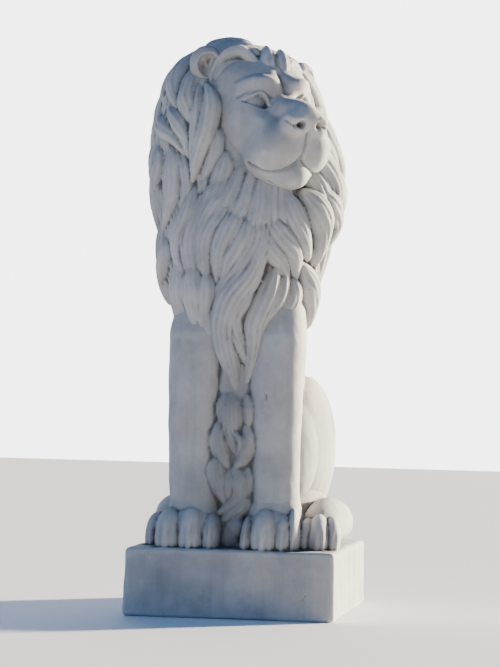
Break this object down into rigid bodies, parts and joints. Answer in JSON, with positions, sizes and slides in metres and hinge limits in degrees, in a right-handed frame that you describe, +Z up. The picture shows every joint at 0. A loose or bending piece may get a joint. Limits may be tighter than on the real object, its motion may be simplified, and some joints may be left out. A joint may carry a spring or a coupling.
{
  "type": "sitting lion statue",
  "caption": "Cast stone lion sitting upright on a low plinth, head turned to its left, with a full mane of long locks.",
  "frame": {"origin": "middle of the plinth's flat underside", "axes": "+Z up, -Y the way the lion's body faces, +X towards the lion's left side"},
  "size_m": [0.3047, 0.3898, 0.827],
  "materials": {
    "cast_stone": "pale cast stone, weathered, with dark dirt in the hollows"
  },
  "bodies": {
    "root": {"lion_statue": "cast_stone"}
  },
  "joints": []
}
